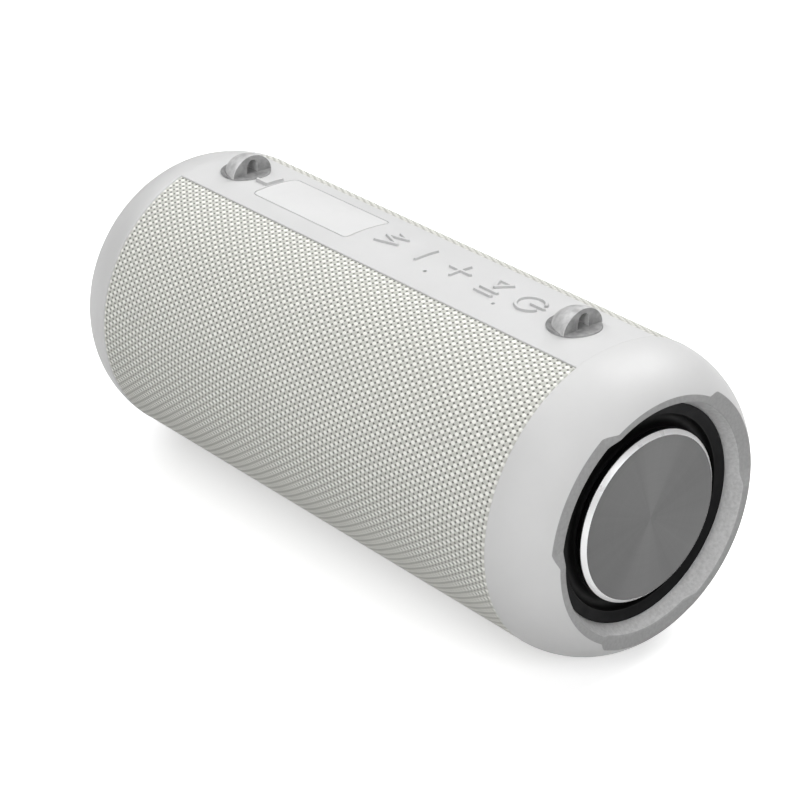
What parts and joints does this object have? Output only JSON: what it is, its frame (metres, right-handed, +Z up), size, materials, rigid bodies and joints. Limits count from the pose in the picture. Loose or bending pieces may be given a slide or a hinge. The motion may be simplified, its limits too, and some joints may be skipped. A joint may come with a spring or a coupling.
{
  "type": "portable bluetooth speaker",
  "caption": "Portable cylindrical wireless speaker with cloth wrap, rubber top strip with moulded keys, strap loops and a recessed metal bass radiator at each domed end.",
  "frame": {"origin": "on the surface the speaker stands on, under the middle of the body", "axes": "+X along the body towards the end seen in the record's main view, -Y the front cloth, +Z up; z = 0 is the underside of the feet"},
  "size_m": [0.1828, 0.08, 0.0864],
  "materials": {
    "cap_shell": "satin",
    "strip_skin": "matte",
    "key_skin": "matte",
    "foot_rubber": "matte",
    "cloth": "woven",
    "dark_plastic": "matte",
    "lug_metal": "satin",
    "fastener_steel": "satin",
    "light_pipe": "clear",
    "board": "satin",
    "gold_can": "satin",
    "surround_rubber": "matte",
    "disc_metal": "spun",
    "weight_steel": "zinc plated",
    "magnet": "ground",
    "cone": "matte",
    "coil": "lacquered wire",
    "cell_wrap": "shrink wrap",
    "flap_rubber": "matte"
  },
  "bodies": {
    "housing": {"end_cap_right": "cap_shell", "end_cap_left": "cap_shell", "control_strip": "strip_skin", "base_strip": "strip_skin", "rubber_feet": "foot_rubber", "grille_cloth_front": "cloth", "grille_cloth_rear": "cloth", "grille_frame_front": "dark_plastic", "grille_frame_rear": "dark_plastic", "strap_lug_right": "lug_metal", "strap_lug_left": "lug_metal", "lug_screws": "fastener_steel", "top_inlay": "strip_skin", "switch_bodies": "fastener_steel", "key_board": "board", "microphone": "gold_can", "led_light_pipe": "light_pipe", "enclosure_front": "dark_plastic", "enclosure_rear": "dark_plastic", "radiator_frame_right": "dark_plastic", "radiator_frame_left": "dark_plastic", "radiator_surround_right": "surround_rubber", "radiator_surround_left": "surround_rubber", "frame_screws": "fastener_steel", "driver_basket_right": "dark_plastic", "driver_basket_left": "dark_plastic", "driver_top_plates": "weight_steel", "driver_magnets": "magnet", "driver_yokes": "weight_steel", "driver_surround_right": "surround_rubber", "driver_surround_left": "surround_rubber", "driver_screws": "fastener_steel", "battery_cells": "cell_wrap", "battery_cradle": "dark_plastic", "main_board": "board", "port_bezel": "cap_shell", "flap_pin": "fastener_steel", "usb_c_socket": "fastener_steel", "aux_jack": "dark_plastic"},
    "key_mode": {"key_mode": "key_skin", "plunger_mode": "dark_plastic"},
    "key_minus": {"key_minus": "key_skin", "plunger_minus": "dark_plastic"},
    "key_plus": {"key_plus": "key_skin", "plunger_plus": "dark_plastic"},
    "key_play": {"key_play": "key_skin", "plunger_play": "dark_plastic"},
    "key_power": {"key_power": "key_skin", "plunger_power": "dark_plastic"},
    "radiator_right": {"radiator_disc_right": "disc_metal", "radiator_weight_right": "weight_steel"},
    "driver_right": {"driver_cone_right": "cone", "voice_coil_right": "coil"},
    "radiator_left": {"radiator_disc_left": "disc_metal", "radiator_weight_left": "weight_steel"},
    "driver_left": {"driver_cone_left": "cone", "voice_coil_left": "coil"},
    "flap": {"port_flap": "flap_rubber"}
  },
  "joints": [
    {"name": "mode_key_press", "type": "slide", "parent": "housing", "child": "key_mode", "axis": [0, 0, -1], "range_m": [0, 0.0004], "stiffness_N_per_m": 800},
    {"name": "minus_key_press", "type": "slide", "parent": "housing", "child": "key_minus", "axis": [0, 0, -1], "range_m": [0, 0.0004], "stiffness_N_per_m": 800},
    {"name": "plus_key_press", "type": "slide", "parent": "housing", "child": "key_plus", "axis": [0, 0, -1], "range_m": [0, 0.0004], "stiffness_N_per_m": 800},
    {"name": "play_key_press", "type": "slide", "parent": "housing", "child": "key_play", "axis": [0, 0, -1], "range_m": [0, 0.0004], "stiffness_N_per_m": 800},
    {"name": "power_key_press", "type": "slide", "parent": "housing", "child": "key_power", "axis": [0, 0, -1], "range_m": [0, 0.0004], "stiffness_N_per_m": 800},
    {"name": "radiator_right_excursion", "type": "slide", "parent": "housing", "child": "radiator_right", "axis": [1, 0, 0], "range_m": [-0.0015, 0.0015], "stiffness_N_per_m": 1800, "deforming": ["radiator_surround_right"]},
    {"name": "radiator_left_excursion", "type": "slide", "parent": "housing", "child": "radiator_left", "axis": [-1, 0, 0], "range_m": [-0.0015, 0.0015], "stiffness_N_per_m": 1800, "deforming": ["radiator_surround_left"]},
    {"name": "driver_right_excursion", "type": "slide", "parent": "housing", "child": "driver_right", "axis": [0, -1, 0], "range_m": [-0.0012, 0.0012], "stiffness_N_per_m": 1000, "deforming": ["driver_surround_right"]},
    {"name": "driver_left_excursion", "type": "slide", "parent": "housing", "child": "driver_left", "axis": [0, -1, 0], "range_m": [-0.0012, 0.0012], "stiffness_N_per_m": 1000, "deforming": ["driver_surround_left"]},
    {"name": "flap_hinge", "type": "hinge", "parent": "housing", "child": "flap", "pos_m": [0.044, 0.0386, 0.0351], "axis": [-1, 0, 0], "range_deg": [0, 90]}
  ]
}
